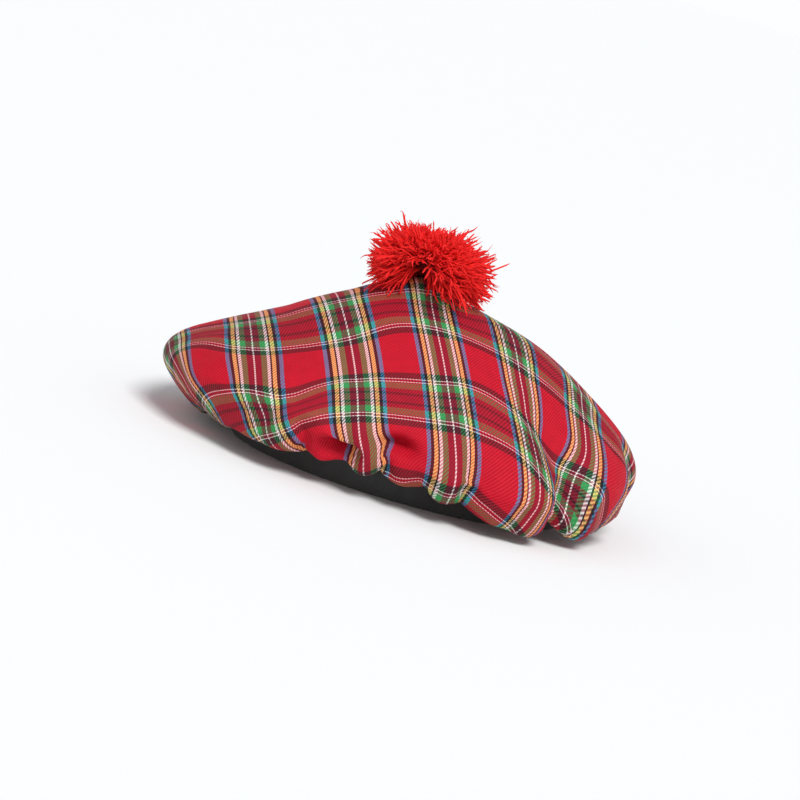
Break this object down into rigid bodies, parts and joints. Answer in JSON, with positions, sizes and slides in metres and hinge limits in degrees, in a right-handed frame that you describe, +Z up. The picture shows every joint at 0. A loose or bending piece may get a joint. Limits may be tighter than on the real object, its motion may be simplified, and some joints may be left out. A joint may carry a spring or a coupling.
{
  "type": "floppy cloth hat with pompom",
  "caption": "Wide floppy round cap of checked cloth gathered into a plain oval headband, with a cut-yarn pompom on top and an open hollow for the head.",
  "frame": {"origin": "centre of the headband's oval opening, on the floor the band stands on", "axes": "+Z up through the crown, +X along the opening's long axis, -Y the side the picture shows"},
  "size_m": [0.2888, 0.2457, 0.1554],
  "materials": {
    "checked_cloth": "twill weave in a red check with green, blue, yellow, black and white lines, slightly lustrous",
    "band_cloth": "plain matt black cloth",
    "yarn": "loose cut yarn, bright red, matt"
  },
  "bodies": {
    "root": {"crown": "checked_cloth", "headband": "band_cloth", "pompom": "yarn"}
  },
  "joints": []
}
